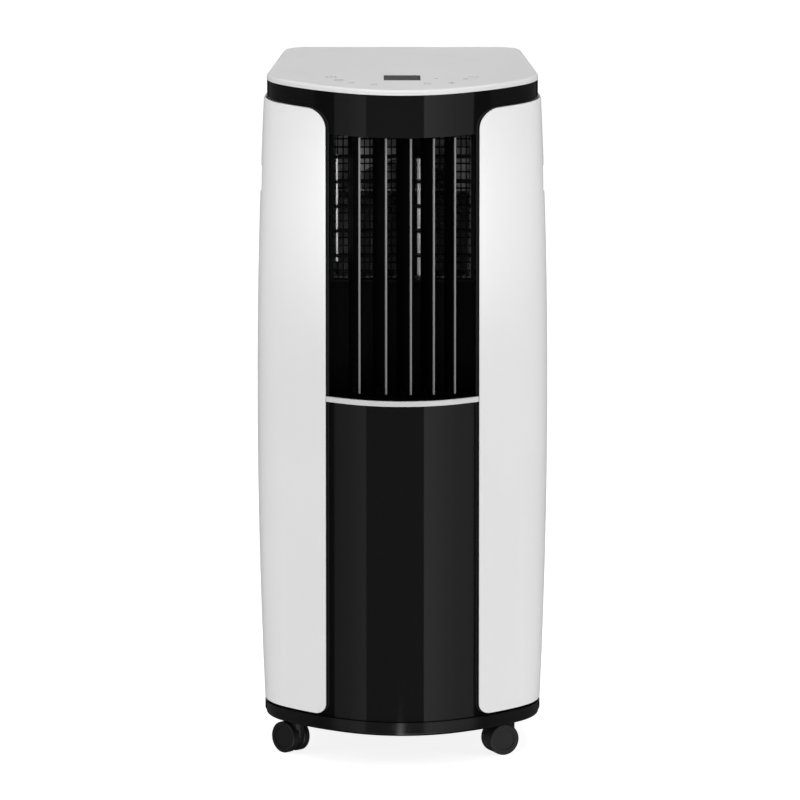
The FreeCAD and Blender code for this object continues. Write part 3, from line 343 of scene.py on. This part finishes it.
def prism(bm, outline, low, high):
    """A closed prism over an outline of (x, y) points between two levels."""
    rings = [[bm.verts.new((x, y, z)) for x, y in outline] for z in (low, high)]
    bm.faces.new(rings[0][::-1])
    bm.faces.new(rings[1])
    count = len(outline)
    for i in range(count):
        j = (i + 1) % count
        bm.faces.new((rings[0][i], rings[0][j], rings[1][j], rings[1][i]))


def turned(points, centre, angle):
    """Points turned about a centre, in the X-Y plane."""
    c, s = math.cos(angle), math.sin(angle)
    return [(centre[0] + x * c - y * s, centre[1] + x * s + y * c) for x, y in points]


# The vanes' pivots, their turn at rest, and how far each blade's nose stands from its pivot, by its
# place from the middle. The satin strips run nearly the blades' whole height.
VANE_TURN = math.radians(24)
VANE_PITCH = 26.7 * MM
VANE_Y = -144 * MM
VANE_NOSE = {0: 24.0 * MM, 1: 21.5 * MM, 2: 14.0 * MM}
STRIP_FOOT = 424.0 * MM
STRIP_HEAD = 713.6 * MM
STRIP_HALF = 0.95 * MM
STRIP_DEPTH = 1.9 * MM
STRIP_SHOULDER = 0.35 * MM
STRIP_PROUD = 0.25 * MM


def vane_edges():
    """A satin strip clipped over each vane's leading edge."""
    for place in range(-2, 3):
        nose = -VANE_NOSE[abs(place)]
        left = [
            (-STRIP_HALF, nose + STRIP_DEPTH),
            (-STRIP_HALF, nose + STRIP_SHOULDER),
            (-STRIP_HALF * 0.5, nose - STRIP_PROUD),
        ]
        section = left + [(-x, y) for x, y in reversed(left)]
        outline = turned(section, (VANE_PITCH * place, VANE_Y), VANE_TURN)
        vane = f"vane_{place + 3}"

        def build(bm):
            prism(bm, outline, STRIP_FOOT, STRIP_HEAD)

        mesh_piece(f"vane_edge_{place + 3}", build, "edge", vane)


ROD_X = -73.5 * MM
ROD_RADIUS = 1.2 * MM
ROD_FOOT = 567.0 * MM
ROD_HEAD = 688.0 * MM
ROD_SIDES = 16


def guide_rod():
    """The slim white rod that stands behind the guide grille's left column."""
    grille_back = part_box("guide_grille")[1].y
    guard_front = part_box("finger_guard")[0].y
    steps = [2 * math.pi * side / ROD_SIDES for side in range(ROD_SIDES)]
    section = [(ROD_RADIUS * math.cos(step), ROD_RADIUS * math.sin(step)) for step in steps]
    outline = turned(section, (ROD_X, (grille_back + guard_front) / 2), 0.0)

    def build(bm):
        prism(bm, outline, ROD_FOOT, ROD_HEAD)

    mesh_piece("guide_rod", build, "rod", "casing")


def ring_outline(x, y, radius, width, start, end, count=20):
    """The outline of an arc's stroke about a centre, from one angle to another."""
    outer, inner = [], []
    for k in range(count + 1):
        angle = start + (end - start) * k / count
        c, s = math.cos(angle), math.sin(angle)
        outer.append((x + radius * c, y + radius * s))
        inner.append((x + (radius - width) * c, y + (radius - width) * s))
    return outer + inner[::-1]


def bar_outline(x, y, wide, tall, angle=0.0):
    """A bar about a centre, turned by an angle."""
    half = [(-wide / 2, -tall / 2), (wide / 2, -tall / 2), (wide / 2, tall / 2), (-wide / 2, tall / 2)]
    return turned(half, (x, y), angle)


PRINT_SINK = 0.05 * MM
PRINT_RISE = 0.04 * MM


def touch_legends():
    """The printed signs of the touch keys, on an arc about the display. Their sizes are millimetres."""
    stroke = 1.6
    signs = {
        "power": [ring_outline(-80, -72, 6.5, stroke, 2.1, 7.3), bar_outline(-80, -66, stroke, 7)],
        "mode": [ring_outline(-71, -96, 5.5, stroke, 0, 6.0), bar_outline(-71, -96, 5, stroke)],
        "minus": [bar_outline(-57, -116, 6.5, 3.0)],
        "timer_left": [ring_outline(-31.5, -130, 4.0, 1.4, 0.3, 5.9)],
        "timer_right": [ring_outline(28, -124, 4.5, 1.2, 0.3, 5.9)],
        "dot": [ring_outline(38, -84, 2.2, 2.1, 0, 6.2, 12)],
        "plus": [bar_outline(55, -118, 8.0, 2.6), bar_outline(55, -118, 2.0, 9)],
        "fan": [bar_outline(71, -90, 6.5, 1.8, 0.5), bar_outline(71, -84, 6.5, 1.8, -0.5)],
        "swing": [ring_outline(80, -73, 6.5, stroke, 0.2, 3.0), bar_outline(80, -80, 9.0, stroke)],
    }
    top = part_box("top_cover")[1].z
    for name, outlines in signs.items():

        def build(bm):
            for outline in outlines:
                prism(bm, [(x * MM, y * MM) for x, y in outline], top - PRINT_SINK, top + PRINT_RISE)

        mesh_piece(f"legend_{name}", build, "legend", "casing")


# ---------------------------------------------------------------- stage, lights and camera


FLOOR_REACH = 60.0
FLOOR_GLOW = 0.87


def pale_floor():
    """A plain pale floor that glows a little, so that the shadows on it stay faint."""
    mesh = bpy.data.meshes.new("floor")
    corners = [(x * FLOOR_REACH, y * FLOOR_REACH, 0) for x, y in ((-1, -1), (1, -1), (1, 1), (-1, 1))]
    mesh.from_pydata(corners, [], [(0, 1, 2, 3)])
    floor = bpy.data.objects.new("floor", mesh)
    bpy.context.scene.collection.objects.link(floor)
    finish = Finish("pale_floor", Roughness=0.9)
    finish.colour(grey(0.38), grey(0.42), finish.noise(3.0, 2.0))
    finish.shader.inputs["Emission Color"].default_value = (1.0, 1.0, 1.0, 1.0)
    finish.shader.inputs["Emission Strength"].default_value = FLOOR_GLOW
    mesh.materials.append(finish.material)
    floor.visible_glossy = False


CARD_STEPS = 12


def card_mesh(name, azimuths, distance, levels):
    """An upright strip of a cylinder about the machine, with its breadth as the first UV."""
    first, last = (math.radians(azimuth) for azimuth in azimuths)
    mesh = bpy.data.meshes.new(name)
    verts, faces = [], []
    for step in range(CARD_STEPS + 1):
        angle = first + (last - first) * step / CARD_STEPS
        x, y = distance * math.sin(angle), -distance * math.cos(angle)
        verts += [(x, y, level) for level in levels]
        if step:
            k = 2 * step
            faces.append((k - 2, k, k + 1, k - 1))
    mesh.from_pydata(verts, [], faces)
    uv = mesh.uv_layers.new(name="across")
    for polygon in mesh.polygons:
        for loop in polygon.loop_indices:
            vertex = mesh.loops[loop].vertex_index
            uv.data[loop].uv = ((vertex // 2) / CARD_STEPS, vertex % 2)
    return mesh


def card_glow(name, radiance, fade):
    """A glow that goes from its radiance to that times its fade, across the card."""
    material = bpy.data.materials.new(name)
    material.use_nodes = True
    nodes, links = material.node_tree.nodes, material.node_tree.links
    nodes.clear()
    across = nodes.new("ShaderNodeUVMap")
    across.uv_map = "across"
    split = nodes.new("ShaderNodeSeparateXYZ")
    links.new(across.outputs["UV"], split.inputs["Vector"])
    ramp = nodes.new("ShaderNodeMapRange")
    ramp.inputs["To Min"].default_value = radiance
    ramp.inputs["To Max"].default_value = radiance * fade
    links.new(split.outputs["X"], ramp.inputs["Value"])
    glow = nodes.new("ShaderNodeEmission")
    links.new(ramp.outputs["Result"], glow.inputs["Strength"])
    out = nodes.new("ShaderNodeOutputMaterial")
    links.new(glow.outputs["Emission"], out.inputs["Surface"])
    return material


def card(name, azimuths, distance, levels, radiance, fade):
    """A reflector that only gloss sees."""
    mesh = card_mesh(name, azimuths, distance, levels)
    mesh.materials.append(card_glow(name, radiance, fade))
    piece = bpy.data.objects.new(name, mesh)
    bpy.context.scene.collection.objects.link(piece)
    piece.visible_camera = False
    piece.visible_diffuse = False
    piece.visible_shadow = False
    piece.visible_transmission = False


def aimed(light, place, aim):
    """A lamp of this light, at a place and turned to what it aims at."""
    lamp = bpy.data.objects.new(light.name, light)
    lamp.location = place
    lamp.rotation_euler = (Vector(aim) - Vector(place)).to_track_quat("-Z", "Y").to_euler()
    bpy.context.scene.collection.objects.link(lamp)
    return lamp


def soft_light(name, place, aim, size, power):
    """A large rectangular lamp."""
    light = bpy.data.lights.new(name, "AREA")
    light.shape = "RECTANGLE"
    light.size, light.size_y = size
    light.energy = power
    return aimed(light, place, aim)


OUTLET_CONE = math.radians(8.5)
OUTLET_SOFTNESS = 0.12


def outlet_light(place, aim, power):
    """A narrow soft lamp that reaches between the vanes."""
    light = bpy.data.lights.new("outlet", "SPOT")
    light.spot_size = OUTLET_CONE
    light.spot_blend = 1.0
    light.shadow_soft_size = OUTLET_SOFTNESS
    light.energy = power
    return aimed(light, place, aim)


WORLD_GLOW = 0.45
BODY = (0, 0, 0.4)
HEAD = (0, 0, 0.7)
OUTLET = (0, -0.12, 0.64)

# The reflectors about the machine: their azimuths from the front, levels, radiance and fade across.
# The full ones reach well below and above the machine. The near ones stand before them, low or high.
FULL_DISTANCE = 1.6
FULL_LEVELS = (-1.4, 2.4)
FULL_CARDS = {
    "card_left": ((-38.7, -66), 0.36, 0.5),
    "card_right": ((22.5, 68), 0.60, 0.5),
    "card_middle": ((-38.7, 22.5), 0.11, 1.0),
    "card_far_left": ((-78, -150), 0.06, 1.4),
    "card_far_right": ((78, 150), 0.06, 1.4),
}
NEAR_DISTANCE = 1.5
LOW_LEVELS = (-1.5, -0.5)
GLINT_LEVELS = (-1.5, -0.25)
HIGH_LEVELS = (1.3, 2.8)
NEAR_CARDS = {
    "card_low_left": ((-44, -5), LOW_LEVELS, 0.35, 0.6),
    "card_low_glint": ((-4.5, 0.5), GLINT_LEVELS, 6.0, 1.0),
    "card_low_right": ((1.5, 50), LOW_LEVELS, 1.5, 0.4),
    "card_high": ((-60, 60), HIGH_LEVELS, 1.2, 1.0),
}


def soft_world():
    """An even white surround that gloss doesn't see."""
    world = bpy.data.worlds.new("studio")
    world.use_nodes = True
    background = world.node_tree.nodes["Background"]
    background.inputs["Color"].default_value = (1.0, 1.0, 1.0, 1.0)
    background.inputs["Strength"].default_value = WORLD_GLOW
    bpy.context.scene.world = world
    world.cycles_visibility.glossy = False


def studio():
    """Soft lamps at both sides and above, one lamp for the outlet, and the reflectors."""
    soft_world()
    lamps = [
        soft_light("key", (-3.5, -1.4, 2.2), BODY, (1.6, 2.2), 19),
        soft_light("fill", (3.4, -1.4, 2.1), BODY, (1.6, 2.2), 27),
        soft_light("top", (0, 0.3, 2.9), HEAD, (2.2, 2.2), 46),
        outlet_light((-0.22, -1.9, 1.05), OUTLET, 110),
    ]
    for lamp in lamps:
        lamp.visible_glossy = False
    for name, (azimuths, radiance, fade) in FULL_CARDS.items():
        card(name, azimuths, FULL_DISTANCE, FULL_LEVELS, radiance, fade)
    for name, (azimuths, levels, radiance, fade) in NEAR_CARDS.items():
        card(name, azimuths, NEAR_DISTANCE, levels, radiance, fade)


CAMERA_PLACE = (-0.0028, -11.3, 2.3964)
CAMERA_DIP = 10.0745
CAMERA_LENS = 454.6
CAMERA_SENSOR = 36.0
CAMERA_REACH = 200.0


def camera():
    """A long lens before the machine, looking down on it a little."""
    data = bpy.data.cameras.new("camera")
    data.sensor_width = CAMERA_SENSOR
    data.lens = CAMERA_LENS
    data.clip_end = CAMERA_REACH
    piece = bpy.data.objects.new("camera", data)
    piece.location = CAMERA_PLACE
    piece.rotation_euler = (math.radians(90 - CAMERA_DIP), 0, 0)
    bpy.context.scene.collection.objects.link(piece)
    bpy.context.scene.camera = piece


dress_nodes()
soften_edges(["side_panel_left", "side_panel_right"])
vane_edges()
guide_rod()
touch_legends()
pale_floor()
studio()
camera()
bpy.context.scene.view_settings.view_transform = "Standard"

bpy.context.view_layer.update()
